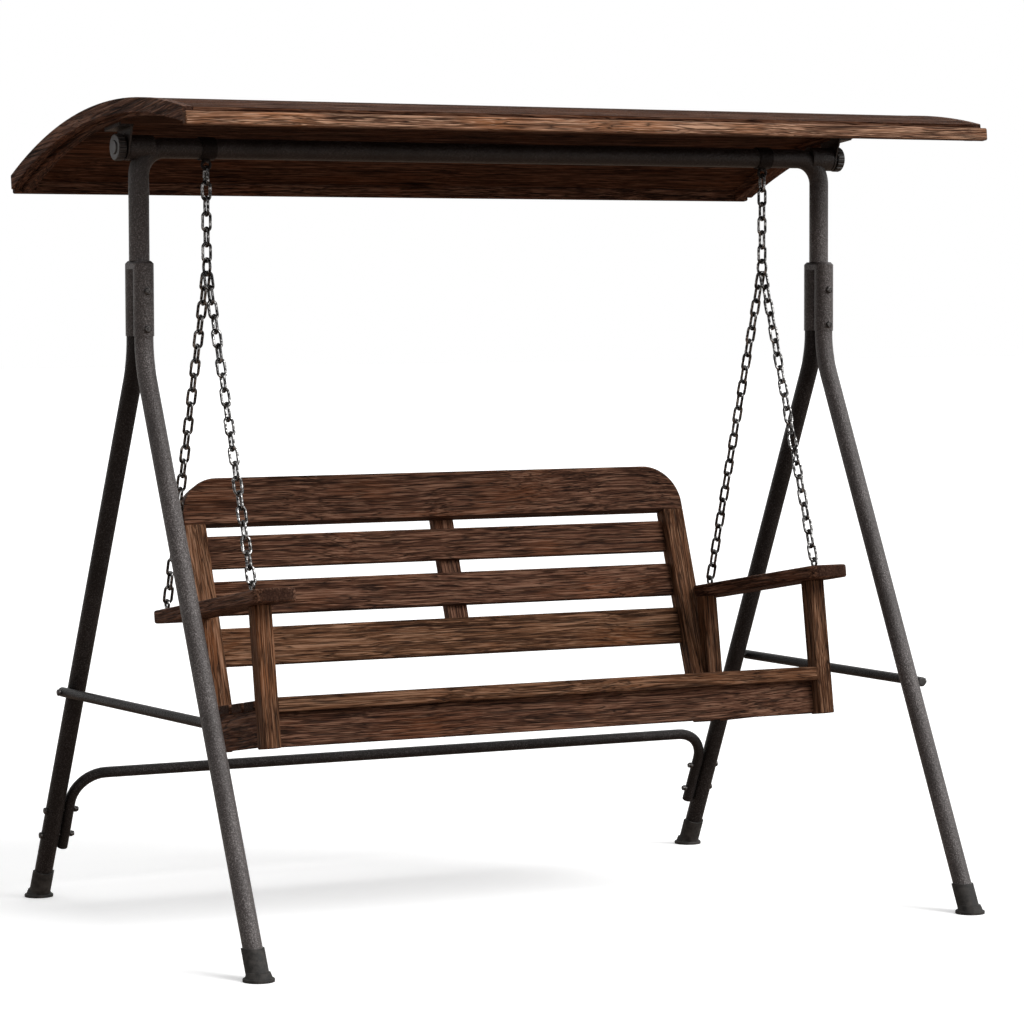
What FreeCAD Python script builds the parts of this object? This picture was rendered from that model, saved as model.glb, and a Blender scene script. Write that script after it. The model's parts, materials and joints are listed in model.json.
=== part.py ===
import FreeCAD, Part
import math
import os

# Garden porch swing: steel A-frame stand, slatted bench on chains, tilting arched roof.
# Millimetres. X runs along the bench, -Y is the front, +Z is up.
# The origin lies on the ground, midway between the two A-frames.

# ---------------------------------------------------------------- driving dimensions
POST_X = 862.0            # half distance between the two posts
FOOT_X = 870.0            # half distance between left and right feet
FOOT_Y = 618.0            # half distance between front and rear feet
PIVOT_Z = 1700.0          # crossbar axis, which is also the axis the roof tilts about
POST_OD = 44.5
LEG_OD = 41.0
TUBE_WALL = 1.5
SOCKET_BOTTOM_Z = 1297.0
SOCKET_TOP_Z = 1458.0
LEG_KNEE_Z = 1243.0       # where the slanted and the upright stretch of a leg would meet
LEG_BEND_R = 220.0
CORNER_BEND_R = 60.0      # bend from post to crossbar
POST_RUN_X = 772.0        # where the bent post ends and the straight crossbar begins

BRACE_OD = 22.0
BRACE_Z = 497.0
BRACE_OVERRUN = 2.0       # brace past the leg axis
BRACE_SCREW_SETBACK = 8.0  # screw short of the leg axis
BRACE_SCREW_REACH = 7.0   # screw end past the leg's outside
STABILISER_OD = 25.0
STABILISER_Z = 297.0
STABILISER_FOOT_Z = 121.0
STABILISER_BEND_R = 75.0
STABILISER_BOLT_Z = (152.0, 212.0)
SOCKET_BOLT_Z = (1312.0, 1393.0)

FOOT_FLANGE_D = 66.0
FOOT_FLANGE_T = 7.0
FOOT_SLEEVE_D = 48.0
FOOT_TOP_Z = 64.0
LEG_END_Z = 14.0

BOLT_D = 8.0
BOLT_HEAD_D = 15.0
BOLT_HEAD_H = 5.5

HUB_D = 55.0
HUB_IN_X = 832.0
HUB_OUT_X = 890.0
STUD_D = 10.0
BORE_D = 10.1             # running fit on the stud

# Roof, in its own frame: x, v to the rear, w up from the tilt axis.
ROOF_TILT = 6.4           # front edge up at rest, degrees
ROOF_HALF_X = 972.0
ROOF_ARC_R = 1640.0       # outside of the arch
ROOF_APEX_W = 84.0
ROOF_CENTRE_V = -10.0
ROOF_HALF_V = 515.0
RIB_DEPTH = 31.0
RIB_T = 22.0
FASCIA_T = 20.0
FASCIA_DROP = 5.0          # top edge below the planks' outside
FRONT_FASCIA_HALF_X = 975.0
REAR_FASCIA_HALF_X = 962.0
PLANK_T = 13.0
PLANK_COUNT = 8
PLANK_GAP = 1.5
INNER_RIB_X = 924.0       # inner face of the two hidden ribs
BRACKET_T = 4.0
BRACKET_X = 895.0         # outside of a bracket's lower part, next to the knob

# Bench, in its own frame: x, y to the rear from the seat's front edge, z up from the seat.
BENCH_TILT = 8.8          # seat falls to the rear, degrees
BENCH_Y = -288.5          # front top edge of the seat in the stand's frame
BENCH_Z = 536.0
POST_W = 39.0
POST_D = 38.0
BENCH_HALF_X = 712.0      # outside of the front arm posts
SEAT_HALF_X = 667.0       # outside of the side aprons, the slat ends and the rear posts
APRON_BOTTOM = -106.0
POST_BOTTOM = -108.0
SLAT_T = 22.0
NOSING_T = 32.0
NOSING_D = 25.0
FRONT_SLAT_D = 68.0
SEAT_SLAT_COUNT = 5
SEAT_SLAT_W = 54.0
SEAT_SLAT_GAP = 12.0
RAIL_T = 24.0
SIDE_APRON_T = 19.0
REAR_POST_W = 37.0
REAR_POST_D = 32.0
REAR_POST_Y = 404.0
REAR_POST_BOTTOM = -42.0
SIDE_APRON_BOTTOM = -101.0
REAR_RAIL_Y = 418.0
REAR_RAIL_BOTTOM = -85.0
BEARER_X = 330.0
BEARER_W = 34.0
ARM_TOP = 226.0
ARM_T = 29.0
ARM_IN_X = 640.0
ARM_OUT_X = 739.0
ARM_FRONT_Y = -73.0
ARM_REAR_Y = 512.0

# Backrest, in a frame that leans back from the bench frame: x, depth, height along the back.
BACK_LEAN = 10.7
BACK_Y = 419.0
BACK_HALF_X = 648.0
STILE_W = 52.0
STILE_T = 40.0
STILE_FOOT = -95.0
BACK_SLAT_T = 18.0
BACK_SLATS = ((99.0, 185.0), (217.0, 294.0), (326.0, 400.0))   # lowest first
TOP_RAIL = (423.5, 531.0)
TOP_RAIL_CORNER_R = 92.0
CENTRE_STILE_X = 22.0      # the middle batten stands a little to the right
CENTRE_STILE_W = 52.0
CENTRE_STILE_T = 24.0

# Chains. A link is a round bar bent to an oval, and each link turns a quarter on the last.
WIRE_D = 6.5
LINK_IN_L = 33.25         # inside length
LINK_IN_W = 11.5          # inside width
HANGER_X = 705.0
HOOK_EYE_R = 9.5          # centre line of the eye under the crossbar clamp
HOOK_WIRE_R = 3.25
HOOK_EYE_Z = 1665.5
RING_R = 18.0
RING_WIRE_R = 3.25
HANGER_LINKS = 6
FRONT_LINKS = 21
REAR_LINKS = 23
ARM_EYE_R = 9.5
ARM_WIRE_R = 3.0
ARM_EYE_Z = 239.0
ARM_EYE_Y = (24.0, 493.0)
ARM_RECESS_D = 20.0        # blind hole for the rear eye bolt's washer and nut
ARM_RECESS_DEPTH = 9.0

SIDES = (("left", -1), ("right", 1))
ENDS = (("front", -1), ("rear", 1))
X_AXIS = FreeCAD.Vector(1, 0, 0)
Y_AXIS = FreeCAD.Vector(0, 1, 0)
Z_AXIS = FreeCAD.Vector(0, 0, 1)
V = FreeCAD.Vector


# ---------------------------------------------------------------- shape helpers
def board(x0, x1, y0, y1, z0, z1, ease=2.5):
    """A sawn board with eased edges."""
    low = V(min(x0, x1), y0, z0)
    shape = Part.makeBox(abs(x1 - x0), y1 - y0, z1 - z0, low)
    return shape.makeFillet(ease, shape.Edges) if ease else shape


def rod(start, end, diameter):
    """A round bar between two points."""
    axis = end - start
    return Part.makeCylinder(diameter / 2, axis.Length, start, axis)


def ring(centre, normal, radius, wire_r):
    """A closed round ring of bar."""
    return Part.makeTorus(radius, wire_r, centre, normal)


def slab(outline, x0, x1):
    """A closed outline in the YZ plane, drawn at x = 0, given a thickness along X."""
    face = Part.Face(outline)
    face.translate(V(x0, 0, 0))
    return face.extrude(V(x1 - x0, 0, 0))


def grouped(shapes):
    """Separate solids that are kept in one node."""
    return Part.makeCompound(shapes)


def tube_ring(centre, direction, diameter, wall):
    """The end face of a tube: a disc, or an annulus where there is a wall."""
    outer = Part.Wire(Part.makeCircle(diameter / 2, centre, direction))
    if not wall:
        return Part.Face(outer)
    inner = Part.Wire(Part.makeCircle(diameter / 2 - wall, centre, direction))
    return Part.Face(outer).cut(Part.Face(inner)).Faces[0]


def bent_tube(points, radius, diameter, wall):
    """A tube along straight stretches, with an arc of the given radius at each corner."""
    pieces = []
    start = points[0]
    for corner, after in zip(points[1:-1], points[2:]):
        inward = (corner - start).normalize()
        outward = (after - corner).normalize()
        turn = inward.getAngle(outward)
        reach = radius * math.tan(turn / 2)
        bend_start = corner - inward * reach
        pieces.append(tube_ring(start, inward, diameter, wall).extrude(bend_start - start))
        axis = inward.cross(outward).normalize()
        centre = bend_start + axis.cross(inward) * radius
        end_face = tube_ring(bend_start, inward, diameter, wall)
        pieces.append(end_face.revolve(centre, axis, math.degrees(turn)))
        start = corner + outward * reach
    last = (points[-1] - start).normalize()
    pieces.append(tube_ring(start, last, diameter, wall).extrude(points[-1] - start))
    return pieces[0].fuse(pieces[1:]).removeSplitter()


def placed(shape, placement):
    """A copy of a shape moved from its own frame into the stand's frame."""
    moved = shape.copy()
    moved.Placement = placement.multiply(moved.Placement)
    return moved


def domed_head(centre, direction, diameter, height):
    """A low round bolt head or cap nut that points along the direction."""
    head = Part.makeCylinder(diameter / 2, height, centre, direction)
    return head.makeFillet(height * 0.45, [head.Edges[0] if head.Edges[0].CenterOfMass.sub(
        centre).dot(direction) > height / 2 else head.Edges[2]])


def bolt(start, end, diameter=BOLT_D):
    """A through bolt: its head lies outside start, its plain end just past end."""
    along = (end - start).normalize()
    shank = rod(start, end + along * 2, diameter)
    return shank.fuse(domed_head(start, along * -1, BOLT_HEAD_D, BOLT_HEAD_H))


def cap_nut(centre, direction):
    """A six-sided nut with a domed cap, closed over the end of the bolt."""
    corners = []
    side = direction.cross(Z_AXIS if abs(direction.z) < 0.9 else X_AXIS).normalize()
    for step in range(7):
        arm = FreeCAD.Rotation(direction, 60 * step).multVec(side)
        corners.append(centre + arm * (BOLT_HEAD_D / 2))
    nut = Part.Face(Part.makePolygon(corners)).extrude(direction * 6)
    cap = Part.makeCylinder(5.5, 4, centre + direction * 6, direction)
    shape = nut.fuse(cap)
    return shape.cut(rod(centre, centre + direction * 2, BOLT_D))


# ---------------------------------------------------------------- stand
def leg_axis(side, end, z):
    """The point on a leg's slanted axis at height z."""
    share = z / LEG_KNEE_Z
    x = FOOT_X + (POST_X - FOOT_X) * share
    y = FOOT_Y + (POST_OD / 2 - FOOT_Y) * share
    return V(side * x, end * y, z)


def leg_points(side, end):
    top = V(side * POST_X, end * POST_OD / 2, SOCKET_TOP_Z - 18)
    return [leg_axis(side, end, LEG_END_Z), leg_axis(side, end, LEG_KNEE_Z), top]


def socket_bolt_ends(side, z):
    return (V(side * POST_X, -POST_OD, z), V(side * POST_X, POST_OD, z))


def brace_is_coped(side, end):
    """The left brace's front end is shaped to the back of its leg; the others pass outside."""
    return side < 0 and end < 0


def brace_point(side, end):
    """The brace's axis where it meets a leg."""
    at = leg_axis(side, end, BRACE_Z)
    if brace_is_coped(side, end):
        return at
    clearance = 0.4
    return at + V(side * (LEG_OD / 2 + BRACE_OD / 2 + clearance), 0, 0)


def brace_ends(side):
    """The front and rear ends of a brace's axis, a little past the legs it passes."""
    front, rear = brace_point(side, -1), brace_point(side, 1)
    along = (rear - front).normalize()
    if not brace_is_coped(side, -1):
        front = front - along * BRACE_OVERRUN
    return front, rear + along * BRACE_OVERRUN


def brace_screw_ends(side, end):
    """From the outside of the brace to just inside the leg."""
    setback = V(0, -end * BRACE_SCREW_SETBACK, 0)
    outside = brace_point(side, end) + V(side * BRACE_OD / 2, 0, 0)
    inside = leg_axis(side, end, BRACE_Z) + V(side * (LEG_OD / 2 - BRACE_SCREW_REACH), 0, 0)
    return outside + setback, inside + setback


def stabiliser_point(side, z):
    """The stabiliser's axis runs down the inside of the rear leg."""
    at = leg_axis(side, 1, z)
    clearance = 0.8
    x = abs(leg_axis(side, 1, STABILISER_Z).x) - LEG_OD / 2 - STABILISER_OD / 2 - clearance
    return V(side * x, at.y, z)


def stabiliser_bolt_ends(side, z):
    at = stabiliser_point(side, z)
    leg = leg_axis(side, 1, z)
    outside = V(leg.x + side * LEG_OD / 2, at.y, z)
    inside = V(at.x - side * STABILISER_OD / 2, at.y, z)
    return outside, inside


def stand_bolts():
    """The end points of every stand bolt and screw, by the node that holds them."""
    socket = [socket_bolt_ends(side, z) for _, side in SIDES for z in SOCKET_BOLT_Z]
    brace = [brace_screw_ends(side, end) for _, side in SIDES for _, end in ENDS
             if not brace_is_coped(side, end)]
    stabiliser = [stabiliser_bolt_ends(side, z) for _, side in SIDES for z in STABILISER_BOLT_Z]
    return {"socket_bolts": socket, "brace_screws": brace, "stabiliser_bolts": stabiliser}


def bolt_holes():
    """Round cutters for every stand bolt, long enough to pass the tube walls."""
    return [rod(*ends, BOLT_D) for group in stand_bolts().values() for ends in group]


def make_post(side):
    top = V(side * POST_X, 0, PIVOT_Z)
    points = [V(side * POST_X, 0, SOCKET_TOP_Z), top, V(side * POST_RUN_X, 0, PIVOT_Z)]
    return bent_tube(points, CORNER_BEND_R, POST_OD, TUBE_WALL)


def make_crossbar():
    face = tube_ring(V(-POST_RUN_X, 0, PIVOT_Z), X_AXIS, POST_OD, TUBE_WALL)
    return face.extrude(V(2 * POST_RUN_X, 0, 0))


def make_leg_socket(side):
    """Two upright sleeves side by side under one chamfered crown that carries the post."""
    crown_t = 18.0
    crown_z = SOCKET_TOP_Z - crown_t
    sleeve_h = crown_z - SOCKET_BOTTOM_Z
    half = POST_OD / 2
    sleeves = [Part.makeCylinder(half, sleeve_h, V(side * POST_X, end * half, SOCKET_BOTTOM_Z))
               for _, end in ENDS]
    crown = Part.makeBox(POST_OD, POST_OD, crown_t, V(side * POST_X - half, -half, crown_z))
    for _, end in ENDS:
        crown = crown.fuse(Part.makeCylinder(half, crown_t, V(side * POST_X, end * half, crown_z)))
    crown = crown.removeSplitter()
    top_edges = [edge for edge in crown.Edges
                 if edge.BoundBox.ZMin > SOCKET_TOP_Z - 0.01]
    crown = crown.makeChamfer(6.0, top_edges)
    web = Part.makeBox(16, 20, sleeve_h, V(side * POST_X - 8, -10, SOCKET_BOTTOM_Z))
    shape = sleeves[0].fuse([sleeves[1], web, crown])
    for _, end in ENDS:
        bore_start = V(side * POST_X, end * half, SOCKET_BOTTOM_Z)
        shape = shape.cut(Part.makeCylinder(LEG_OD / 2, sleeve_h, bore_start))
    return shape.cut(bolt_holes())


def make_leg(side, end):
    return bent_tube(leg_points(side, end), LEG_BEND_R, LEG_OD, TUBE_WALL).cut(bolt_holes())


def make_foot(side, end):
    """A flared rubber cap that follows the leg's slant and stands flat on the ground."""
    ground = leg_axis(side, end, 0)
    slant = (leg_axis(side, end, LEG_KNEE_Z) - ground).normalize()
    reach = (FOOT_TOP_Z + 30) / slant.z
    sleeve = Part.makeCylinder(FOOT_SLEEVE_D / 2, reach, ground - slant * 30, slant)
    keep = Part.makeBox(160, 160, FOOT_TOP_Z, V(ground.x - 80, ground.y - 80, 0))
    sleeve = sleeve.common(keep)
    flange = Part.makeCylinder(FOOT_FLANGE_D / 2, FOOT_FLANGE_T, ground)
    flange = flange.makeFillet(2.5, [flange.Edges[0]])
    flare_base = ground + V(0, 0, FOOT_FLANGE_T)
    flare = Part.makeCone(FOOT_FLANGE_D / 2 - 4, FOOT_SLEEVE_D / 2, 12, flare_base)
    shape = flange.fuse([flare, sleeve])
    leg_core = rod(leg_axis(side, end, LEG_END_Z), leg_axis(side, end, FOOT_TOP_Z + 60), LEG_OD)
    return shape.cut(leg_core)


def make_side_brace(side):
    front, rear = brace_ends(side)
    face = tube_ring(front, rear - front, BRACE_OD, TUBE_WALL)
    tube = face.extrude(rear - front).cut(bolt_holes())
    if brace_is_coped(side, -1):
        leg = rod(leg_axis(side, -1, BRACE_Z - 60), leg_axis(side, -1, BRACE_Z + 60), LEG_OD)
        tube = tube.cut(leg)
    return tube


def make_brace_plugs():
    """Rounded caps pushed into the open brace ends."""
    plugs = []
    for _, side in SIDES:
        front, rear = brace_ends(side)
        for at, end in ((front, -1), (rear, 1)):
            if brace_is_coped(side, end):
                continue
            out = (rear - front).normalize() * end
            cap = Part.makeCylinder(BRACE_OD / 2, 3.5, at, out)
            outer_edge = max(cap.Edges, key=lambda edge: edge.CenterOfMass.y * end)
            cap = cap.makeFillet(3.0, [outer_edge])
            plugs.append(cap.fuse(rod(at - out * 5, at, BRACE_OD - 2 * TUBE_WALL)))
    return grouped(plugs)


def make_rear_stabiliser():
    points = [stabiliser_point(-1, STABILISER_FOOT_Z), stabiliser_point(-1, STABILISER_Z),
              stabiliser_point(1, STABILISER_Z), stabiliser_point(1, STABILISER_FOOT_Z)]
    return bent_tube(points, STABILISER_BEND_R, STABILISER_OD, TUBE_WALL).cut(bolt_holes())


def make_pivot_hub(side):
    """A short bored stub welded to the outside of the frame's top corner."""
    stub = rod(V(side * HUB_IN_X, 0, PIVOT_Z), V(side * HUB_OUT_X, 0, PIVOT_Z), HUB_D)
    outer_edges = [edge for edge in stub.Edges if edge.BoundBox.XLength < 0.01
                   and abs(abs(edge.CenterOfMass.x) - HUB_OUT_X) < 0.01]
    stub = stub.makeChamfer(2.0, outer_edges)
    corner = [V(side * POST_X, 0, SOCKET_TOP_Z), V(side * POST_X, 0, PIVOT_Z),
              V(side * POST_RUN_X, 0, PIVOT_Z)]
    stub = stub.cut(bent_tube(corner, CORNER_BEND_R, POST_OD, 0))
    bore = rod(V(side * HUB_IN_X, 0, PIVOT_Z), V(side * HUB_OUT_X, 0, PIVOT_Z), BORE_D)
    return max(stub.cut(bore).Solids, key=lambda solid: abs(solid.CenterOfMass.x))


def make_hanger_clamp(side):
    """A band round the crossbar with a bar eye below it for the top chain link."""
    band_w = 34.0
    band_t = 3.0
    x = side * HANGER_X
    band = Part.makeCylinder(POST_OD / 2 + band_t, band_w, V(x - band_w / 2, 0, PIVOT_Z), X_AXIS)
    lug = Part.makeBox(14, 12, 12, V(x - 7, -6, PIVOT_Z - POST_OD / 2 - 9))
    eye = ring(V(x, 0, HOOK_EYE_Z), Y_AXIS, HOOK_EYE_R, HOOK_WIRE_R)
    bore = rod(V(x - band_w, 0, PIVOT_Z), V(x + band_w, 0, PIVOT_Z), POST_OD)
    window = rod(V(x, -20, HOOK_EYE_Z), V(x, 20, HOOK_EYE_Z), 2 * (HOOK_EYE_R - HOOK_WIRE_R))
    return band.fuse([lug, eye]).cut([bore, window]).removeSplitter()


# ---------------------------------------------------------------- roof
def roof_placement():
    turn = FreeCAD.Rotation(X_AXIS, -ROOF_TILT)
    return FreeCAD.Placement(V(0, 0, PIVOT_Z), turn)


def roof_w(v, depth=0.0):
    """Height of the arch above the tilt axis, at a depth below its outside."""
    radius = ROOF_ARC_R - depth
    drop = ROOF_ARC_R - math.sqrt(radius ** 2 - (v - ROOF_CENTRE_V) ** 2)
    return ROOF_APEX_W - drop


def arch_outline(half_v, outer_depth, inner_depth):
    """A closed band of the arch in the YZ plane, with upright ends."""
    front, rear = ROOF_CENTRE_V - half_v, ROOF_CENTRE_V + half_v
    corners = {}
    for name, depth in (("outer", outer_depth), ("inner", inner_depth)):
        corners[name] = [V(0, v, roof_w(v, depth)) for v in (front, ROOF_CENTRE_V, rear)]
    outer, inner = corners["outer"], corners["inner"]
    edges = [Part.Arc(*outer).toShape(), Part.makeLine(outer[2], inner[2]),
             Part.Arc(*reversed(inner)).toShape(), Part.makeLine(inner[0], outer[0])]
    return Part.Wire(edges)


def make_end_rib(side):
    outline = arch_outline(ROOF_HALF_V - FASCIA_T, 0.0, RIB_DEPTH)
    rib = slab(outline, ROOF_HALF_X - RIB_T, ROOF_HALF_X)
    rib = rib.makeFillet(2.0, rib.Edges)
    return rib if side > 0 else rib.mirror(V(0, 0, 0), X_AXIS)


def bracket_screw_places():
    """Screw centres that hold a roof bracket to its rib, as (v, w)."""
    return [(v, roof_w(v, PLANK_T + 12)) for v in (-34.0, -8.0, 18.0)]


def make_inner_ribs():
    """Two hidden ribs under the planks that carry the tilt brackets."""
    ribs = []
    half_v = ROOF_HALF_V - FASCIA_T
    for _, side in SIDES:
        outline = arch_outline(half_v, PLANK_T, RIB_DEPTH + 6)
        rib = slab(outline, INNER_RIB_X, INNER_RIB_X + RIB_T)
        for v, w in bracket_screw_places():
            rib = rib.cut(rod(V(INNER_RIB_X, v, w), V(INNER_RIB_X + 16, v, w), 4))
        ribs.append(rib if side > 0 else rib.mirror(V(0, 0, 0), X_AXIS))
    return grouped(ribs)


def make_fascia(end):
    """The board along the front or rear edge, over the ends of the ribs."""
    edge_v = ROOF_CENTRE_V + end * ROOF_HALF_V
    inner_v = edge_v - end * FASCIA_T
    half_x = FRONT_FASCIA_HALF_X if end < 0 else REAR_FASCIA_HALF_X
    top = min(roof_w(edge_v), roof_w(inner_v)) - FASCIA_DROP
    return board(-half_x, half_x, min(edge_v, inner_v), max(edge_v, inner_v),
                 roof_w(edge_v, RIB_DEPTH), top, 4.0)


def make_planks():
    """Straight planks side by side over the arch, from fascia to fascia."""
    half_x = ROOF_HALF_X - RIB_T
    reach = math.asin((ROOF_HALF_V - FASCIA_T - 0.5) / (ROOF_ARC_R - PLANK_T))
    pitch = 2 * reach / PLANK_COUNT
    gap = PLANK_GAP / ROOF_ARC_R
    centre = V(0, ROOF_CENTRE_V, ROOF_APEX_W - ROOF_ARC_R)
    planks = []
    for number in range(PLANK_COUNT):
        lean = -reach + (number + 0.5) * pitch
        sweep = pitch - gap
        rows = []
        for radius in (ROOF_ARC_R - 0.5, ROOF_ARC_R - PLANK_T):
            angles = (lean - sweep / 2, lean, lean + sweep / 2)
            rows.append([centre + V(0, math.sin(a), math.cos(a)) * radius for a in angles])
        outer, inner = rows
        outline = Part.Wire([Part.Arc(*outer).toShape(), Part.makeLine(outer[2], inner[2]),
                             Part.Arc(*reversed(inner)).toShape(),
                             Part.makeLine(inner[0], outer[0])])
        planks.append(slab(outline, -half_x, half_x))
    return grouped(planks)


def make_roof_bracket(side):
    """A cranked plate: an eye on the hub, a step outwards, and a wide tab screwed to the rib."""
    eye_r = HUB_D / 2
    tab = 42.0
    low = roof_w(0, RIB_DEPTH + 6) - 4
    top = roof_w(tab, PLANK_T) - 3
    mid_v = ROOF_CENTRE_V + 2
    points = [V(0, -eye_r, 0), V(0, mid_v - tab, low), V(0, mid_v + tab, low), V(0, eye_r, 0)]
    edges = [Part.makeLine(a, b) for a, b in zip(points, points[1:])]
    edges.append(Part.Arc(points[-1], V(0, 0, -eye_r), points[0]).toShape())
    inner_x = BRACKET_X - BRACKET_T
    plate = slab(Part.Wire(edges), inner_x, BRACKET_X)
    plate = plate.cut(rod(V(inner_x, 0, 0), V(BRACKET_X, 0, 0), BORE_D))
    step = Part.makeBox(INNER_RIB_X - inner_x, 2 * tab, BRACKET_T,
                        V(inner_x, mid_v - tab, low - BRACKET_T))
    tab_x = INNER_RIB_X - BRACKET_T
    upright = Part.makeBox(BRACKET_T, 2 * tab, top - low, V(tab_x, mid_v - tab, low))
    for v, w in bracket_screw_places():
        upright = upright.cut(rod(V(tab_x, v, w), V(INNER_RIB_X, v, w), 4))
    plate = plate.fuse([step, upright]).removeSplitter()
    return plate if side > 0 else plate.mirror(V(0, 0, 0), X_AXIS)


def make_roof_screws():
    screws = []
    inner_x = INNER_RIB_X - BRACKET_T
    for _, side in SIDES:
        for v, w in bracket_screw_places():
            start, end = V(side * inner_x, v, w), V(side * (INNER_RIB_X + 16), v, w)
            head = domed_head(start, V(-side, 0, 0), 8, 2.5)
            screws.append(rod(start, end, 4).fuse(head))
    return grouped(screws)


def make_tilt_knob(side):
    """A fluted hand knob on a stud that runs through the bracket into the hub."""
    grip_r = 29.0
    grip_h = 18.0
    flutes = 18
    flute_r = 3.0
    face_x = side * (BRACKET_X + 0.3)
    out = V(side, 0, 0)
    base = V(face_x, 0, PIVOT_Z)
    collar = Part.makeCylinder(16, 4, base, out)
    grip = Part.makeCylinder(grip_r, grip_h, base + out * 4, out)
    rim = [edge for edge in grip.Edges if edge.BoundBox.XLength < 0.01]
    grip = grip.makeFillet(3.0, rim)
    cutters = []
    for step in range(flutes):
        angle = 2 * math.pi * step / flutes
        offset = V(0, math.cos(angle), math.sin(angle)) * (grip_r + 1.0)
        cutters.append(Part.makeCylinder(flute_r, grip_h + 2, base + offset + out * 3, out))
    boss = Part.makeCylinder(15, 2.5, base + out * (4 + grip_h), out)
    outer_edge = max(boss.Edges, key=lambda edge: abs(edge.CenterOfMass.x))
    boss = boss.makeFillet(1.5, [outer_edge])
    stud = rod(V(side * (HUB_OUT_X - 26), 0, PIVOT_Z), base, STUD_D)
    return grip.cut(cutters).fuse([collar, boss, stud])


# ---------------------------------------------------------------- bench
def bench_placement():
    turn = FreeCAD.Rotation(X_AXIS, -BENCH_TILT)
    return FreeCAD.Placement(V(0, BENCH_Y, BENCH_Z), turn)


def back_placement():
    """The backrest's frame inside the bench frame."""
    return FreeCAD.Placement(V(0, BACK_Y, 0), FreeCAD.Rotation(X_AXIS, -BACK_LEAN))


def seat_slat_starts():
    first = FRONT_SLAT_D + SEAT_SLAT_GAP
    return [first + number * (SEAT_SLAT_W + SEAT_SLAT_GAP) for number in range(SEAT_SLAT_COUNT)]


def seat_screw_places():
    """Screws into the side aprons and the bearers: along x, along y."""
    rows = [FRONT_SLAT_D - 8] + [start + SEAT_SLAT_W / 2 for start in seat_slat_starts()]
    edge = SEAT_HALF_X - SIDE_APRON_T / 2
    return [(x, y) for y in rows for x in (-edge, -BEARER_X, 0.0, BEARER_X, edge)]


def seat_screws():
    """Countersunk screws, flush with the seat."""
    screws = []
    for x, y in seat_screw_places():
        head = Part.makeCone(2, 4.5, 3, V(x, y, -3.6))
        screws.append(rod(V(x, y, -42), V(x, y, -3), 4).fuse(head))
    return screws


def stile_bolts():
    """Bolts across each rear arm post into the foot of its stile."""
    bolts = []
    for _, side in SIDES:
        for height in (-28.0, 6.0):
            outer = V(side * SEAT_HALF_X, REAR_POST_Y + 21, height)
            inner = V(side * (BACK_HALF_X - STILE_W + 8), REAR_POST_Y + 21, height)
            bolts.append(rod(inner, outer, 6).fuse(domed_head(outer, V(side, 0, 0), 13, 3.5)))
    return bolts


def eye_bolt(side, y):
    """A bar eye on a collar; the rear one has a washer and nut in the armrest's recess."""
    x = side * HANGER_X
    eye = ring(V(x, y, ARM_EYE_Z), X_AXIS, ARM_EYE_R, ARM_WIRE_R)
    collar = Part.makeCylinder(8, ARM_EYE_Z - ARM_EYE_R - ARM_TOP, V(x, y, ARM_TOP))
    window = rod(V(x - 20, y, ARM_EYE_Z), V(x + 20, y, ARM_EYE_Z), 2 * (ARM_EYE_R - ARM_WIRE_R))
    if y < POST_D:
        parts = [eye, rod(V(x, y, ARM_TOP - ARM_T - 14), V(x, y, ARM_TOP), 6)]
    else:
        recess_z = ARM_TOP - ARM_T + ARM_RECESS_DEPTH
        shank = rod(V(x, y, recess_z - 8), V(x, y, ARM_TOP), 6)
        washer = Part.makeCylinder(9, 1.5, V(x, y, recess_z - 1.5))
        nut = Part.makeCylinder(6, 5, V(x, y, recess_z - 6.5))
        parts = [eye, shank, washer, nut]
    return collar.fuse(parts).cut(window).removeSplitter()


def make_front_post(side):
    x_out, x_in = side * BENCH_HALF_X, side * (BENCH_HALF_X - POST_W)
    post = board(x_out, x_in, 0, POST_D, POST_BOTTOM, ARM_TOP - ARM_T)
    return post.cut(eye_bolt(side, ARM_EYE_Y[0]))


def make_rear_post(side):
    """An upright post in front of the leaning stile, notched where the stile crosses it."""
    x_out, x_in = side * SEAT_HALF_X, side * (SEAT_HALF_X - REAR_POST_W)
    post = board(x_out, x_in, REAR_POST_Y, REAR_POST_Y + REAR_POST_D, REAR_POST_BOTTOM,
                 ARM_TOP - ARM_T)
    return post.cut([stile_board(side)] + stile_bolts())


def make_armrest(side):
    """A flat arm board with generously rounded ends, notched at the rear for the stile."""
    corner_r = 26.0
    shape = Part.makeBox(ARM_OUT_X - ARM_IN_X, ARM_REAR_Y - ARM_FRONT_Y, ARM_T,
                         V(ARM_IN_X, ARM_FRONT_Y, ARM_TOP - ARM_T))
    upright = [edge for edge in shape.Edges if edge.BoundBox.ZLength > ARM_T - 0.1]
    shape = shape.makeFillet(corner_r, upright)
    rim = [edge for edge in shape.Edges if edge.BoundBox.ZLength < 0.1]
    shape = shape.makeFillet(5.0, rim)
    if side < 0:
        shape = shape.mirror(V(0, 0, 0), X_AXIS)
    rear_eye = V(side * HANGER_X, ARM_EYE_Y[1], ARM_TOP - ARM_T)
    recess = Part.makeCylinder(ARM_RECESS_D / 2, ARM_RECESS_DEPTH, rear_eye)
    bolts = [eye_bolt(side, eye_y) for eye_y in ARM_EYE_Y]
    return shape.cut(bolts + [recess, stile_notch(side)])


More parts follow.
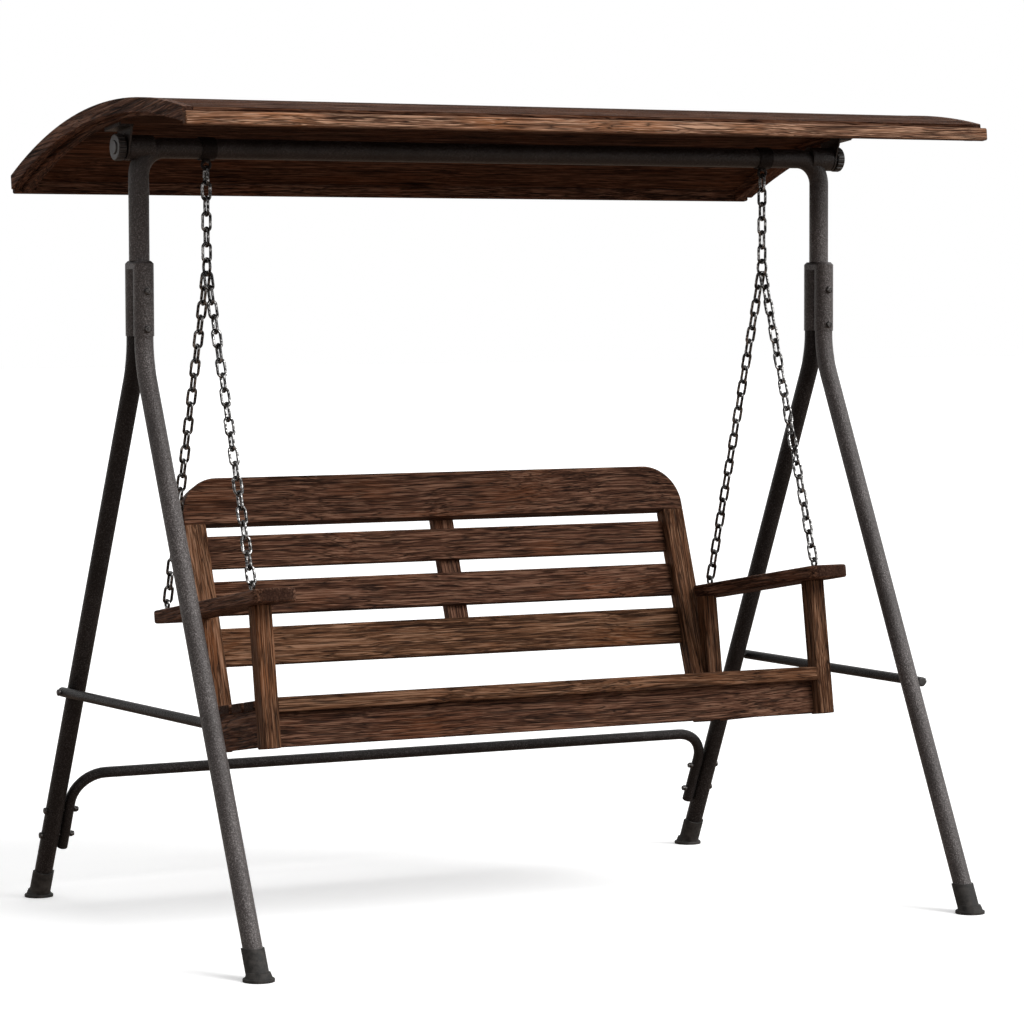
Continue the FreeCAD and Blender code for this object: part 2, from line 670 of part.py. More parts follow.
def make_front_slat():
    """The first seat slat, with a thick nosing that hangs over the apron."""
    half_x = BENCH_HALF_X - POST_W
    corners = [(0, 0), (FRONT_SLAT_D, 0), (FRONT_SLAT_D, -SLAT_T), (NOSING_D, -SLAT_T),
               (NOSING_D, -NOSING_T), (0, -NOSING_T), (0, 0)]
    shape = slab(Part.makePolygon([V(0, y, z) for y, z in corners]), -half_x, half_x)
    nose = [edge for edge in shape.Edges if edge.BoundBox.YMax < 0.01
            and edge.BoundBox.XLength > half_x]
    shape = shape.makeFillet(5.0, nose)
    return shape.cut(seat_screws())


def make_seat_slats():
    half_x = SEAT_HALF_X
    slats = []
    for start in seat_slat_starts():
        slat = board(-half_x, half_x, start, start + SEAT_SLAT_W, -SLAT_T, 0, 3.5)
        slats.append(slat.cut(seat_screws()))
    return grouped(slats)


def make_front_apron():
    """The board under the seat's front edge, between the front posts."""
    half_x = BENCH_HALF_X - POST_W
    return board(-half_x, half_x, NOSING_D, NOSING_D + RAIL_T, APRON_BOTTOM, -SLAT_T)


def make_rear_rail():
    """The rail between the feet of the back stiles."""
    half_x = BACK_HALF_X - STILE_W
    return board(-half_x, half_x, REAR_RAIL_Y, REAR_RAIL_Y + RAIL_T, REAR_RAIL_BOTTOM, -SLAT_T)


def make_side_apron(side):
    outer = side * SEAT_HALF_X
    apron = board(outer, outer - side * SIDE_APRON_T, NOSING_D + RAIL_T, REAR_POST_Y,
                  SIDE_APRON_BOTTOM, -SLAT_T)
    return apron.cut(seat_screws())


def make_bearers():
    """Bars that run front to rear under the seat slats."""
    bearers = []
    for x in (-BEARER_X, 0.0, BEARER_X):
        bearer = board(x - BEARER_W / 2, x + BEARER_W / 2, NOSING_D + RAIL_T, REAR_RAIL_Y,
                       REAR_RAIL_BOTTOM + 10, -SLAT_T, 1.5)
        bearers.append(bearer.cut(seat_screws()))
    return grouped(bearers)


def stile_board(side):
    outer, inner = side * BACK_HALF_X, side * (BACK_HALF_X - STILE_W)
    return placed(board(outer, inner, 0, STILE_T, STILE_FOOT, TOP_RAIL[0]), back_placement())


def stile_notch(side):
    """What an armrest leaves out for the stile, open to the rear."""
    outer, inner = side * BACK_HALF_X, side * (BACK_HALF_X - STILE_W)
    return placed(board(outer, inner, 0, 3 * STILE_T, STILE_FOOT, TOP_RAIL[0]), back_placement())


def make_stile(side):
    return stile_board(side).cut(stile_bolts())


def make_centre_stile():
    """The middle batten, behind the slats from the lowest one up to the top rail."""
    half = CENTRE_STILE_W / 2
    stile = board(CENTRE_STILE_X - half, CENTRE_STILE_X + half, STILE_T,
                  STILE_T + CENTRE_STILE_T, BACK_SLATS[0][0] + 14, TOP_RAIL[1] - 30)
    return placed(stile, back_placement())


def make_back_slat(low, high):
    half_x = BACK_HALF_X - STILE_W
    slat = board(-half_x, half_x, STILE_T - BACK_SLAT_T, STILE_T, low, high)
    return placed(slat, back_placement())


def make_top_rail():
    """The head of the backrest, with big rounded upper corners."""
    shape = Part.makeBox(2 * BACK_HALF_X, STILE_T, TOP_RAIL[1] - TOP_RAIL[0],
                         V(-BACK_HALF_X, 0, TOP_RAIL[0]))
    corners = [edge for edge in shape.Edges if edge.BoundBox.YLength > STILE_T - 0.1
               and edge.BoundBox.ZMin > TOP_RAIL[1] - 0.1]
    shape = shape.makeFillet(TOP_RAIL_CORNER_R, corners)
    rim = [edge for edge in shape.Edges if edge.BoundBox.YLength < 0.1]
    shape = shape.makeFillet(2.5, rim)
    return placed(shape, back_placement())


# ---------------------------------------------------------------- chains
def make_link():
    """One oval link about the origin: long along Z, flat in the XZ plane."""
    bend_r = (LINK_IN_W + WIRE_D) / 2
    half = (LINK_IN_L - LINK_IN_W) / 2
    pieces = []
    for sign in (1, -1):
        pieces.append(rod(V(sign * bend_r, 0, -half), V(sign * bend_r, 0, half), WIRE_D))
        disc = Part.Face(Part.Wire(Part.makeCircle(WIRE_D / 2, V(bend_r, 0, sign * half), Z_AXIS)))
        pieces.append(disc.revolve(V(0, 0, sign * half), V(0, -sign, 0), 180))
    return pieces[0].fuse(pieces[1:]).removeSplitter()


def make_chain(start, end, count, first_turn, start_bar_r, end_bar_r):
    """Links in a straight line from one bar to the next, the first turned by first_turn."""
    link = make_link()
    along = (end - start).normalize()
    lean = FreeCAD.Rotation(Z_AXIS, along)
    first = LINK_IN_L / 2 - start_bar_r
    last = (end - start).Length - (LINK_IN_L / 2 - end_bar_r)
    step = (last - first) / (count - 1)
    links = []
    for number in range(count):
        turn = FreeCAD.Rotation(Z_AXIS, first_turn + 90 * (number % 2))
        at = start + along * (first + step * number)
        links.append(placed(link, FreeCAD.Placement(at, lean.multiply(turn))))
    return links


def hook_point(side):
    """Where the first link bears on the eye under the crossbar."""
    return V(side * HANGER_X, 0, HOOK_EYE_Z - HOOK_EYE_R)


def ring_centre(side):
    """The junction ring hangs at the end of the short upper chain."""
    slack = 0.05 * (HANGER_LINKS - 1)
    reach = HANGER_LINKS * LINK_IN_L - HOOK_WIRE_R - RING_WIRE_R - slack
    return hook_point(side) - Z_AXIS * (reach + RING_R)


def make_hanger_chain(side):
    """The short upper chain and the ring that the two bench chains hang from."""
    centre = ring_centre(side)
    top = centre + Z_AXIS * RING_R
    links = make_chain(hook_point(side), top, HANGER_LINKS, 90, HOOK_WIRE_R, RING_WIRE_R)
    return grouped(links + [ring(centre, X_AXIS, RING_R, RING_WIRE_R)])


def make_bench_chain(side):
    """The front and rear chains of one side, from the ring down to the armrest eyes."""
    centre = ring_centre(side)
    links = []
    for eye_y, count in zip(ARM_EYE_Y, (FRONT_LINKS, REAR_LINKS)):
        eye = bench_placement().multVec(V(side * HANGER_X, eye_y, ARM_EYE_Z))
        along = (eye - centre).normalize()
        start, end = centre + along * RING_R, eye - along * ARM_EYE_R
        links += make_chain(start, end, count, 0, RING_WIRE_R, ARM_WIRE_R)
    return grouped(links)


# ---------------------------------------------------------------- nodes
def stand_nodes():
    nodes = {"crossbar": make_crossbar(), "rear_stabiliser": make_rear_stabiliser(),
             "brace_end_plugs": make_brace_plugs()}
    for side_name, side in SIDES:
        nodes[f"post_{side_name}"] = make_post(side)
        nodes[f"leg_socket_{side_name}"] = make_leg_socket(side)
        nodes[f"side_brace_{side_name}"] = make_side_brace(side)
        for end_name, end in ENDS:
            nodes[f"leg_{end_name}_{side_name}"] = make_leg(side, end)
            nodes[f"foot_{end_name}_{side_name}"] = make_foot(side, end)
    nodes["pivot_hubs"] = grouped([make_pivot_hub(side) for _, side in SIDES])
    nodes["hanger_clamps"] = grouped([make_hanger_clamp(side) for _, side in SIDES])
    for name, places in stand_bolts().items():
        nodes[name] = grouped([bolt(*ends) for ends in places])
    nodes["cap_nuts"] = grouped([cap_nut(end, (end - start).normalize())
                                 for name, places in stand_bolts().items()
                                 for start, end in places if name != "brace_screws"])
    for side_name, side in SIDES:
        nodes[f"tilt_knob_{side_name}"] = make_tilt_knob(side)
        nodes[f"hanger_chain_{side_name}"] = make_hanger_chain(side)
        nodes[f"bench_chain_{side_name}"] = make_bench_chain(side)
    return nodes


def roof_nodes():
    nodes = {"roof_inner_ribs": make_inner_ribs(), "roof_planks": make_planks(),
             "roof_screws": make_roof_screws()}
    for end_name, end in ENDS:
        nodes[f"roof_{end_name}_fascia"] = make_fascia(end)
    for side_name, side in SIDES:
        nodes[f"roof_end_rib_{side_name}"] = make_end_rib(side)
        nodes[f"roof_bracket_{side_name}"] = make_roof_bracket(side)
    return {name: placed(shape, roof_placement()) for name, shape in nodes.items()}


def bench_nodes():
    nodes = {"front_apron": make_front_apron(), "rear_rail": make_rear_rail(),
             "seat_front_slat": make_front_slat(), "seat_slats": make_seat_slats(),
             "seat_bearers": make_bearers(), "back_top_rail": make_top_rail(),
             "back_centre_stile": make_centre_stile(),
             "bench_screws": grouped(seat_screws() + stile_bolts()),
             "arm_eye_bolts": grouped([eye_bolt(side, y) for _, side in SIDES
                                       for y in ARM_EYE_Y])}
    for name, (low, high) in zip(("bottom", "middle", "top"), BACK_SLATS):
        nodes[f"back_slat_{name}"] = make_back_slat(low, high)
    for side_name, side in SIDES:
        nodes[f"arm_post_front_{side_name}"] = make_front_post(side)
        nodes[f"arm_post_rear_{side_name}"] = make_rear_post(side)
        nodes[f"armrest_{side_name}"] = make_armrest(side)
        nodes[f"side_apron_{side_name}"] = make_side_apron(side)
        nodes[f"back_stile_{side_name}"] = make_stile(side)
    return {name: placed(shape, bench_placement()) for name, shape in nodes.items()}


def main():
    os.makedirs("parts", exist_ok=True)
    for nodes in (stand_nodes(), roof_nodes(), bench_nodes()):
        for name, shape in nodes.items():
            shape.exportStep(f"parts/{name}.step")


main()
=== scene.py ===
import json
import math

import bpy
from mathutils import Matrix, Vector

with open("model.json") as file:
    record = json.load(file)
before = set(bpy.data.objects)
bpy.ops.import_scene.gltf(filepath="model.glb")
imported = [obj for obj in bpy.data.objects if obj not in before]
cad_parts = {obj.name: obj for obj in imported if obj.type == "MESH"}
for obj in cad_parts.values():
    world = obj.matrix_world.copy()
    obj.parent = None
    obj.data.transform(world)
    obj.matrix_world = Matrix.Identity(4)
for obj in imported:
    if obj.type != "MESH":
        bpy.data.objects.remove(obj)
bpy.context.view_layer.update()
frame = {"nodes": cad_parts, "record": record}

# Looks of the garden porch swing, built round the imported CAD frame. Metres, +Z up, -Y is the front.
NODES = frame["nodes"]
SIDES = ("left", "right")
ENDS = ("front", "rear")

# How far each wooden group leans about X from the upright, in degrees.
SEAT_LEAN = 8.8
BACK_LEAN = SEAT_LEAN + 10.7
ROOF_LEAN = 6.4

# Where boards of one node change, in each group's own leaned coordinates.
SEAT_ROW_START = -0.293     # middle of the gap in front of the first slat
SEAT_ROW = 0.066            # slat and gap
ROOF_MIDDLE = -0.1995       # middle of the arch
ROOF_ARC_R = 1.634          # middle of the planks' thickness
PLANK_ANGLE = 0.0772        # plank and joint along the arch, radians

# Features of the grain per metre: along the board, then across it both ways.
SWAY = (1.6, 3.0, 3.0)
BANDS = (1.5, 44.0, 44.0)
STREAKS = (6.5, 200.0, 200.0)
# pale fibres of the grain, which also paint glossy highlight streaks
FIBRES_AND_SHEEN = (14.0, 330.0, 330.0)
COARSE_LINES = (1.6, 72.0, 72.0)
CLOSE_LINES = (5.5, 185.0, 185.0)
PATCHES = (4.0, 9.0, 9.0)

POST_TONE = {"left": 0.95, "right": 0.78}
ROOF_SHADE_HEIGHTS = (1.50, 1.68)      # heights between which painted shade darkens the steel's coat under the roof

FLOOR_HALF = 60.0
KEY_STRENGTH = 2.3
KEY_SPREAD = 30.0           # degrees
KEY_DIRECTION = (-0.46, 0.66, -0.59)

CAMERA_AZIMUTH = -28.018    # degrees round from the front, to the left
CAMERA_ELEVATION = 3.291    # degrees above level
CAMERA_ROLL = -0.002733     # radians
CAMERA_DISTANCE = 8.5201
CAMERA_LENS = 132.59        # mm on a sensor 36 mm wide
CAMERA_AIM = (0.0, 0.0, 0.9)
CAMERA_AIM_SHIFT = (0.03643, -0.00654)      # to the camera's right and up


# ---------------------------------------------------------------- node graph helper
class Graph:
    """A material under construction: short calls that add nodes and return their outputs."""

    def __init__(self, name, **fixed):
        self.material = bpy.data.materials.new(name)
        self.material.use_nodes = True
        self.tree = self.material.node_tree
        self.tree.nodes.clear()
        output = self.tree.nodes.new("ShaderNodeOutputMaterial")
        self.shader = self.tree.nodes.new("ShaderNodeBsdfPrincipled")
        self.tree.links.new(self.shader.outputs[0], output.inputs[0])
        for socket, value in fixed.items():
            self.shader.inputs[socket.replace("_", " ")].default_value = value

    def add(self, kind, settings=None, **inputs):
        node = self.tree.nodes.new(kind)
        for key, value in (settings or {}).items():
            setattr(node, key, value)
        for key, value in inputs.items():
            self.put(node.inputs[key.replace("_", " ")], value)
        return node

    def put(self, socket, value):
        if isinstance(value, bpy.types.NodeSocket):
            self.tree.links.new(value, socket)
        else:
            socket.default_value = value

    def math(self, operation, *values):
        node = self.tree.nodes.new("ShaderNodeMath")
        node.operation = operation
        for socket, value in zip(node.inputs, values):
            self.put(socket, value)
        return node.outputs[0]

    def noise(self, vector, scale, detail=3.0, roughness=0.5):
        node = self.add("ShaderNodeTexNoise", Vector=vector, Scale=scale, Detail=detail,
                        Roughness=roughness)
        return node.outputs["Fac"]

    def remap(self, value, low, high, to_low=0.0, to_high=1.0):
        node = self.tree.nodes.new("ShaderNodeMapRange")
        for socket, item in zip(node.inputs, (value, low, high, to_low, to_high)):
            self.put(socket, item)
        return node.outputs[0]

    def stretched(self, vector, stretch):
        node = self.add("ShaderNodeVectorMath", {"operation": "MULTIPLY"})
        self.put(node.inputs[0], vector)
        self.put(node.inputs[1], stretch)
        return node.outputs[0]

    def shifted(self, vector, shift):
        node = self.add("ShaderNodeVectorMath", {"operation": "ADD"})
        self.put(node.inputs[0], vector)
        self.put(node.inputs[1], shift)
        return node.outputs[0]

    def ramp(self, value, stops):
        node = self.tree.nodes.new("ShaderNodeValToRGB")
        self.put(node.inputs[0], value)
        elements = node.color_ramp.elements
        while len(elements) < len(stops):
            elements.new(0.5)
        for element, (position, colour) in zip(elements, stops):
            element.position = position
            element.color = (*colour, 1.0)
        return node.outputs[0]

    def mix(self, share, first, second):
        node = self.add("ShaderNodeMix", {"data_type": "RGBA"})
        for socket, value in zip((node.inputs[0], node.inputs[6], node.inputs[7]),
                                 (share, first, second)):
            self.put(socket, (*value, 1.0) if isinstance(value, tuple) else value)
        return node.outputs[2]

    def bump(self, height, strength, distance):
        return self.add("ShaderNodeBump", Height=height, Strength=strength, Distance=distance).outputs[0]

    def finish(self, **linked):
        for socket, value in linked.items():
            self.put(self.shader.inputs[socket.replace("_", " ")], value)
        return self.material


# ---------------------------------------------------------------- wood
def board_coordinates(graph, grain, lean, seed):
    """Object coordinates turned so that X runs along the board's grain."""
    turned = graph.add("ShaderNodeVectorRotate", {"rotation_type": "X_AXIS"},
                       Vector=graph.add("ShaderNodeTexCoord").outputs["Object"],
                       Angle=math.radians(lean))
    parts = graph.add("ShaderNodeSeparateXYZ", Vector=turned.outputs[0]).outputs
    order = {"X": (0, 1, 2), "Y": (1, 0, 2), "Z": (2, 1, 0)}[grain]
    joined = graph.add("ShaderNodeCombineXYZ", X=parts[order[0]], Y=parts[order[1]],
                       Z=parts[order[2]]).outputs[0]
    return graph.shifted(joined, (seed * 1.37, seed * 0.61, seed * 0.83)), parts


def end_grain(graph, grain, lean):
    """1 on a board's cut ends, 0 on its long faces."""
    turned = graph.add("ShaderNodeVectorRotate", {"rotation_type": "X_AXIS"},
                       Vector=graph.add("ShaderNodeTexCoord").outputs["Normal"],
                       Angle=math.radians(lean))
    along = graph.add("ShaderNodeSeparateXYZ", Vector=turned.outputs[0]).outputs[grain]
    return graph.remap(graph.math("ABSOLUTE", along), 0.75, 0.92)


def contour_lines(graph, field, width):
    """Thin lines where a noise field passes its middle: 1 on the line, 0 beside it."""
    away = graph.math("ABSOLUTE", graph.math("SUBTRACT", field, 0.5))
    return graph.remap(away, 0.0, width, 1.0, 0.0)


def wood(name, grain, lean, seed, tones, row=None, gloss=0.09):
    """Stained open-grain hardwood: bands, dark growth lines, pale fibres that also paint glossy highlight
    streaks, and warm patches.
    """
    graph = Graph(name, Specular_IOR_Level=gloss)
    place, parts = board_coordinates(graph, grain, lean, seed)
    if row is not None:
        number = row(graph, parts)
        shift = graph.math("MULTIPLY", number, 3.71)
        place = graph.shifted(place, graph.add("ShaderNodeCombineXYZ", X=shift, Y=shift).outputs[0])
    sway = graph.math("SUBTRACT", graph.noise(graph.stretched(place, SWAY), 1.0, 2.0), 0.5)
    wander = graph.add("ShaderNodeCombineXYZ", Y=graph.math("MULTIPLY", sway, 0.055),
                       Z=graph.math("MULTIPLY", sway, 0.04)).outputs[0]
    bent = graph.shifted(place, wander)
    bands = graph.noise(graph.stretched(bent, BANDS), 1.0, 3.0, 0.55)
    streaks = graph.noise(graph.stretched(bent, STREAKS), 1.0, 4.0, 0.68)
    fibres_and_sheen = graph.noise(graph.stretched(bent, FIBRES_AND_SHEEN), 1.0, 2.0, 0.7)
    coarse = contour_lines(graph, graph.noise(graph.stretched(bent, COARSE_LINES), 1.0, 2.0), 0.020)
    close = contour_lines(graph, graph.noise(graph.stretched(bent, CLOSE_LINES), 1.0, 1.0), 0.055)
    slow = graph.noise(graph.stretched(place, PATCHES), 1.0, 2.0)
    shade = graph.math("ADD", graph.math("MULTIPLY", bands, 0.34),
                       graph.math("MULTIPLY", streaks, 0.66))
    dark, body, warm, light = tones
    colour = graph.ramp(shade, ((0.40, dark), (0.46, body), (0.53, warm), (0.60, light)))
    colour = graph.mix(graph.remap(slow, 0.54, 0.72, 0.0, 0.55), colour,
                       (warm[0] * 1.40, warm[1] * 1.12, warm[2] * 0.80))
    # pale fibres: grain, and also painted highlight streaks standing in for gloss
    colour = graph.mix(graph.remap(fibres_and_sheen, 0.53, 0.64, 0.0, 0.80), colour, light)
    lines = graph.math("MAXIMUM", graph.math("MULTIPLY", coarse, 0.90),
                       graph.math("MULTIPLY", close, 0.80))
    colour = graph.mix(lines, colour, tuple(value * 0.18 for value in dark))
    colour = graph.mix(graph.math("MULTIPLY", end_grain(graph, grain, lean), 0.8), colour,
                       tuple(value * 1.3 for value in dark))
    if row is not None:
        chance = graph.add("ShaderNodeTexWhiteNoise", {"noise_dimensions": "1D"}, W=number)
        colour = graph.add("ShaderNodeVectorMath", {"operation": "SCALE"}, Vector=colour,
                           Scale=graph.remap(chance.outputs["Value"], 0.0, 1.0, 0.76, 1.14)).outputs[0]
    height = graph.math("SUBTRACT", graph.math("ADD", streaks, graph.math("MULTIPLY", fibres_and_sheen, 0.5)),
                        graph.math("MULTIPLY", lines, 0.8))
    return graph.finish(Base_Color=colour, Roughness=graph.remap(shade, 0.38, 0.62, 0.78, 0.55),
                        Normal=graph.bump(height, 0.9, 0.0024))


def toned(tones, factor):
    """The same stain, lighter or darker."""
    return tuple(tuple(value * factor for value in tone) for tone in tones)


WALNUT = ((0.024, 0.010, 0.006), (0.072, 0.029, 0.016), (0.118, 0.050, 0.028),
          (0.235, 0.120, 0.074))
WALNUT_WARM = ((0.034, 0.013, 0.006), (0.092, 0.039, 0.018), (0.148, 0.064, 0.030),
               (0.285, 0.150, 0.086))
WALNUT_PALE = ((0.060, 0.027, 0.015), (0.155, 0.074, 0.043), (0.235, 0.120, 0.070),
               (0.450, 0.265, 0.170))


def seat_row(graph, parts):
    """Whole numbers that change from one seat slat to the next."""
    back = graph.math("SUBTRACT", parts[1], SEAT_ROW_START)
    return graph.math("FLOOR", graph.math("DIVIDE", back, SEAT_ROW))


def plank_row(graph, parts):
    """Whole numbers that change from one roof plank to the next."""
    back = graph.math("SUBTRACT", parts[1], ROOF_MIDDLE)
    angle = graph.math("ARCSINE", graph.math("DIVIDE", back, ROOF_ARC_R))
    return graph.math("FLOOR", graph.math("DIVIDE", angle, PLANK_ANGLE))


# ---------------------------------------------------------------- metal, rubber, plastic
def hammered_steel(name, tone, shine):
    """Dark powder coat, hammered and flecked, with painted shade darkening it under the roof."""
    graph = Graph(name, Metallic=0.15, Specular_IOR_Level=shine)
    place = graph.add("ShaderNodeTexCoord").outputs["Object"]
    pits = graph.add("ShaderNodeTexVoronoi", Vector=place, Scale=210.0).outputs["Distance"]
    grain = graph.noise(place, 420.0, 3.0, 0.6)
    flecks = graph.noise(place, 400.0, 2.0, 0.7)
    slow = graph.noise(graph.stretched(place, (1.0, 1.0, 0.35)), 14.0, 3.0)
    coat, fleck, dull = (tuple(value * tone for value in colour) for colour in
                         ((0.046, 0.037, 0.035), (0.250, 0.225, 0.218), (0.026, 0.020, 0.018)))
    colour = graph.mix(graph.remap(flecks, 0.50, 0.66, 0.0, 0.85), coat, fleck)
    colour = graph.mix(graph.remap(slow, 0.35, 0.70, 0.0, 0.65), colour, dull)
    level = graph.add("ShaderNodeSeparateXYZ", Vector=place).outputs["Z"]
    # painted shade of the roof: above these heights the coat blends to near black
    colour = graph.mix(graph.remap(level, *ROOF_SHADE_HEIGHTS, 0.0, 0.65), colour, (0.010, 0.007, 0.006))
    height = graph.math("ADD", graph.math("MULTIPLY", pits, 0.6), grain)
    return graph.finish(Base_Color=colour, Roughness=graph.remap(grain, 0.3, 0.7, 0.30, 0.45),
                        Normal=graph.bump(height, 0.8, 0.0018))


def chain_steel(name):
    """Near-black plated steel with worn, bright high spots."""
    graph = Graph(name, Metallic=1.0)
    place = graph.add("ShaderNodeTexCoord").outputs["Object"]
    wear = graph.noise(place, 150.0, 4.0, 0.65)
    fine = graph.noise(place, 900.0, 3.0)
    colour = graph.ramp(wear, ((0.38, (0.014, 0.013, 0.013)), (0.50, (0.085, 0.082, 0.080)),
                               (0.62, (0.55, 0.54, 0.53))))
    return graph.finish(Base_Color=colour, Roughness=graph.remap(wear, 0.3, 0.7, 0.46, 0.24),
                        Normal=graph.bump(fine, 0.3, 0.0005))


def rubber(name):
    graph = Graph(name, Specular_IOR_Level=0.35)
    place = graph.add("ShaderNodeTexCoord").outputs["Object"]
    dust = graph.noise(place, 60.0, 5.0, 0.65)
    grain = graph.noise(place, 1400.0, 2.0)
    colour = graph.ramp(dust, ((0.40, (0.014, 0.013, 0.012)), (0.68, (0.055, 0.050, 0.046))))
    return graph.finish(Base_Color=colour, Roughness=graph.remap(dust, 0.3, 0.7, 0.62, 0.85),
                        Normal=graph.bump(grain, 0.3, 0.0003))


def moulded_plastic(name):
    graph = Graph(name, Specular_IOR_Level=0.5)
    place = graph.add("ShaderNodeTexCoord").outputs["Object"]
    cloud = graph.noise(place, 45.0, 3.0)
    grain = graph.noise(place, 1800.0, 2.0)
    colour = graph.ramp(cloud, ((0.38, (0.020, 0.018, 0.017)), (0.66, (0.045, 0.041, 0.039))))
    return graph.finish(Base_Color=colour, Roughness=graph.remap(cloud, 0.3, 0.7, 0.36, 0.5),
                        Normal=graph.bump(grain, 0.2, 0.0002))


def blackened_fixing(name):
    graph = Graph(name, Metallic=0.8)
    place = graph.add("ShaderNodeTexCoord").outputs["Object"]
    wear = graph.noise(place, 260.0, 4.0, 0.6)
    colour = graph.ramp(wear, ((0.40, (0.022, 0.020, 0.019)), (0.68, (0.16, 0.15, 0.145))))
    return graph.finish(Base_Color=colour, Roughness=graph.remap(wear, 0.3, 0.7, 0.48, 0.28),
                        Normal=graph.bump(wear, 0.2, 0.0003))


# ---------------------------------------------------------------- dressing the CAD nodes
def dress(node, material):
    """Gives a CAD node one material and leaves its mesh as it is."""
    mesh = NODES[node].data
    mesh.materials.clear()
    mesh.materials.append(material)


def dress_metal():
    steel = hammered_steel("frame_steel", 1.0, 0.5)
    # darker copy of the frame steel: painted shade on the rear legs, side braces, rear stabiliser and
    # hanger clamps
    shade_painted_steel = hammered_steel("shaded_steel", 0.32, 0.16)
    fixing = blackened_fixing("fixings")
    chain = chain_steel("chain_steel")
    black = moulded_plastic("black_plastic")
    foot = rubber("rubber_feet")
    for node in NODES:
        if node.startswith("foot_"):
            dress(node, foot)
        elif node.startswith("tilt_knob") or node == "brace_end_plugs":
            dress(node, black)
        elif "chain" in node or node == "arm_eye_bolts":
            dress(node, chain)
        elif "bolts" in node or "screws" in node or node == "cap_nuts":
            dress(node, fixing)
        elif node in ("hanger_clamps", "rear_stabiliser") or node.startswith(("side_brace", "leg_rear")):
            dress(node, shade_painted_steel)
        elif node in frame["record"]["behaviour"]["bodies"]["stand"] or "bracket" in node:
            dress(node, steel)


def dress_wood():
    lengthwise = {
        "seat_front_slat": (SEAT_LEAN, toned(WALNUT_WARM, 0.8)),
        "front_apron": (SEAT_LEAN, toned(WALNUT, 0.82)),
        "rear_rail": (SEAT_LEAN, WALNUT),
        "back_top_rail": (BACK_LEAN, WALNUT),
        "back_slat_top": (BACK_LEAN, WALNUT),
        "back_slat_middle": (BACK_LEAN, toned(WALNUT, 0.95)),
        "back_slat_bottom": (BACK_LEAN, toned(WALNUT_WARM, 0.95)),
        "roof_front_fascia": (ROOF_LEAN, toned(WALNUT_PALE, 1.08)),
        "roof_rear_fascia": (ROOF_LEAN, WALNUT),
    }
    for seed, (node, (lean, tones)) in enumerate(lengthwise.items(), 1):
        dress(node, wood("wood_" + node, "X", lean, seed, tones))
    dress("seat_slats", wood("wood_seat_slats", "X", SEAT_LEAN, 11, WALNUT, seat_row))
    dress("roof_planks", wood("wood_roof_planks", "X", ROOF_LEAN, 12, toned(WALNUT, 0.85), plank_row, 0.02))
    dress("seat_bearers", wood("wood_seat_bearers", "Y", SEAT_LEAN, 13, WALNUT))
    dress("back_centre_stile", wood("wood_centre_stile", "Z", BACK_LEAN, 14, WALNUT))
    dress("roof_inner_ribs", wood("wood_inner_ribs", "Y", ROOF_LEAN, 15, WALNUT))
    for number, side in enumerate(SIDES):
        seed = 20 + 10 * number
        post_tones = toned(WALNUT_WARM, POST_TONE[side])
        dress(f"roof_end_rib_{side}",
              wood(f"wood_end_rib_{side}", "Y", ROOF_LEAN, seed, WALNUT))
        dress(f"armrest_{side}", wood(f"wood_armrest_{side}", "Y", SEAT_LEAN, seed + 1, WALNUT))
        dress(f"side_apron_{side}", wood(f"wood_side_apron_{side}", "Y", SEAT_LEAN, seed + 2, WALNUT))
        dress(f"back_stile_{side}",
              wood(f"wood_back_stile_{side}", "Z", BACK_LEAN, seed + 3, toned(WALNUT_WARM, 1.05)))
        for step, end in enumerate(ENDS):
            dress(f"arm_post_{end}_{side}",
                  wood(f"wood_arm_post_{end}_{side}", "Z", SEAT_LEAN, seed + 4 + step, post_tones))


# ---------------------------------------------------------------- stage
def make_floor():
    """A plain pale floor that takes shadows and throws no light back up."""
    corners = [(x * FLOOR_HALF, y * FLOOR_HALF, 0) for x, y in ((-1, -1), (1, -1), (1, 1), (-1, 1))]
    mesh = bpy.data.meshes.new("floor")
    mesh.from_pydata(corners, [], [(0, 1, 2, 3)])
    floor = bpy.data.objects.new("floor", mesh)
    bpy.context.scene.collection.objects.link(floor)
    graph = Graph("floor_white", Roughness=0.9, Specular_IOR_Level=0.0, Emission_Strength=0.33,
                  Base_Color=(0.95, 0.95, 0.95, 1.0), Emission_Color=(1.0, 1.0, 1.0, 1.0))
    mesh.materials.append(graph.material)
    floor.visible_diffuse = False
    floor.visible_glossy = False


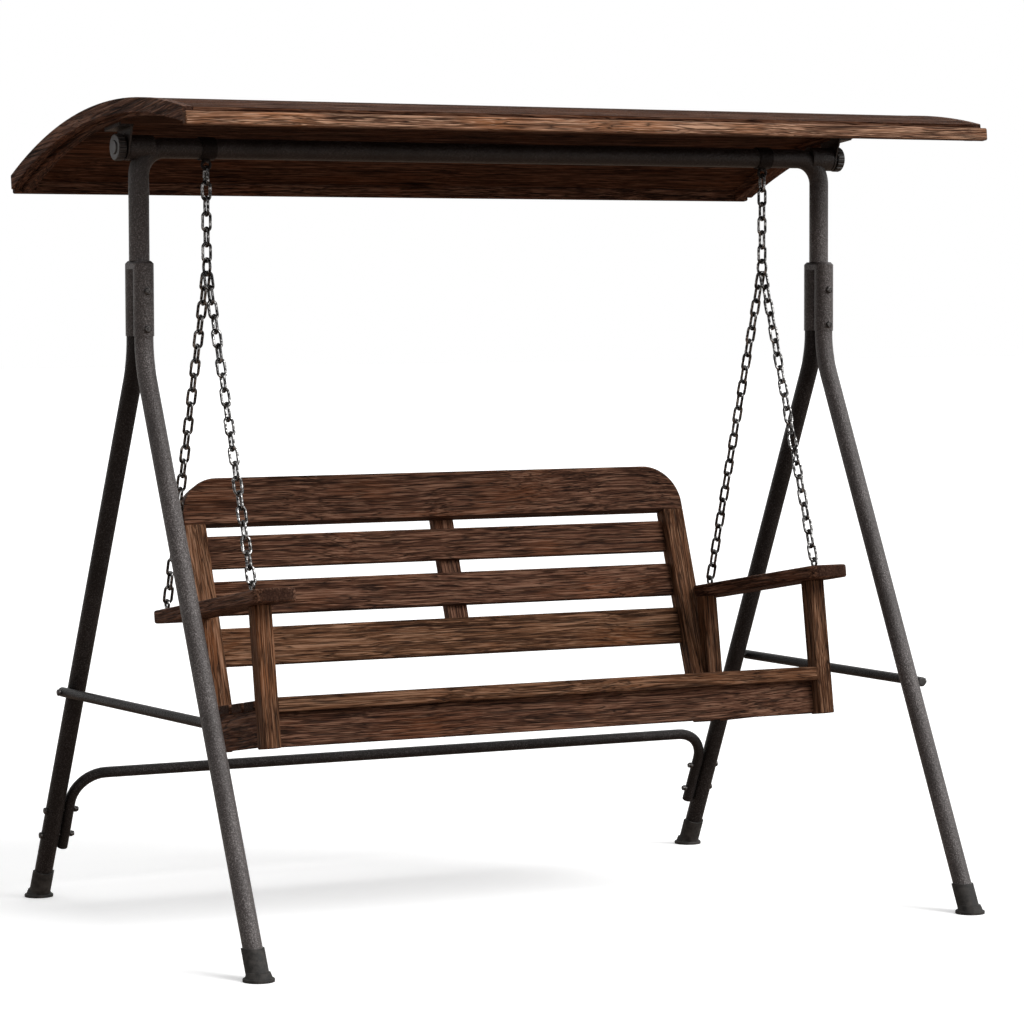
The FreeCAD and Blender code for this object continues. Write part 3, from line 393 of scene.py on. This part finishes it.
def make_lights():
    """A white studio, brighter to the right and warm and dim from below, and one soft key light."""
    world = bpy.data.worlds.new("studio")
    world.use_nodes = True
    tree = world.node_tree
    background = tree.nodes["Background"]
    parts = tree.nodes.new("ShaderNodeSeparateXYZ")
    tree.links.new(tree.nodes.new("ShaderNodeTexCoord").outputs["Generated"], parts.inputs[0])

    def share(source, low, high):
        node = tree.nodes.new("ShaderNodeMapRange")
        tree.links.new(parts.outputs[source], node.inputs["Value"])
        node.inputs["From Min"].default_value = low
        node.inputs["From Max"].default_value = high
        return node.outputs[0]

    def mixed(factor, first, second):
        node = tree.nodes.new("ShaderNodeMix")
        node.data_type = "RGBA"
        tree.links.new(factor, node.inputs[0])
        for socket, value in zip((node.inputs[6], node.inputs[7]), (first, second)):
            if isinstance(value, tuple):
                socket.default_value = (*value, 1.0)
            else:
                tree.links.new(value, socket)
        return node.outputs[2]

    overhead = mixed(share("X", -0.7, 0.5), (0.30, 0.30, 0.30), (1.0, 1.0, 1.0))
    upper = mixed(share("Z", 0.08, 0.20), (1.0, 1.0, 1.0), overhead)
    whole = mixed(share("Z", -0.12, -0.05), (0.25, 0.185, 0.145), upper)
    tree.links.new(whole, background.inputs[0])
    bpy.context.scene.world = world
    data = bpy.data.lights.new("key", "SUN")
    data.energy = KEY_STRENGTH
    data.angle = math.radians(KEY_SPREAD)
    key = bpy.data.objects.new("key", data)
    key.rotation_mode = "QUATERNION"
    key.rotation_quaternion = Vector(KEY_DIRECTION).to_track_quat("-Z", "Y")
    bpy.context.scene.collection.objects.link(key)


def make_camera():
    """Looks from the front left, a little above level, with a long lens."""
    azimuth, elevation = math.radians(CAMERA_AZIMUTH), math.radians(CAMERA_ELEVATION)
    back = Vector((math.sin(azimuth) * math.cos(elevation),
                   -math.cos(azimuth) * math.cos(elevation), math.sin(elevation)))
    right = Vector((math.cos(azimuth), math.sin(azimuth), 0.0))
    up = back.cross(right)
    centre = Vector(CAMERA_AIM) + right * CAMERA_AIM_SHIFT[0] + up * CAMERA_AIM_SHIFT[1]
    rolled_right = right * math.cos(CAMERA_ROLL) + up * math.sin(CAMERA_ROLL)
    rolled_up = up * math.cos(CAMERA_ROLL) - right * math.sin(CAMERA_ROLL)
    data = bpy.data.cameras.new("camera")
    data.sensor_width = 36.0
    data.lens = CAMERA_LENS
    data.clip_end = 200.0
    camera = bpy.data.objects.new("camera", data)
    turn = Matrix((rolled_right, rolled_up, back)).transposed().to_4x4()
    camera.matrix_world = Matrix.Translation(centre + back * CAMERA_DISTANCE) @ turn
    bpy.context.scene.collection.objects.link(camera)
    bpy.context.scene.camera = camera


def main():
    make_camera()
    make_lights()
    make_floor()
    dress_metal()
    dress_wood()
    scene = bpy.context.scene
    scene.view_settings.view_transform = "Standard"
    scene.view_settings.look = "None"


main()
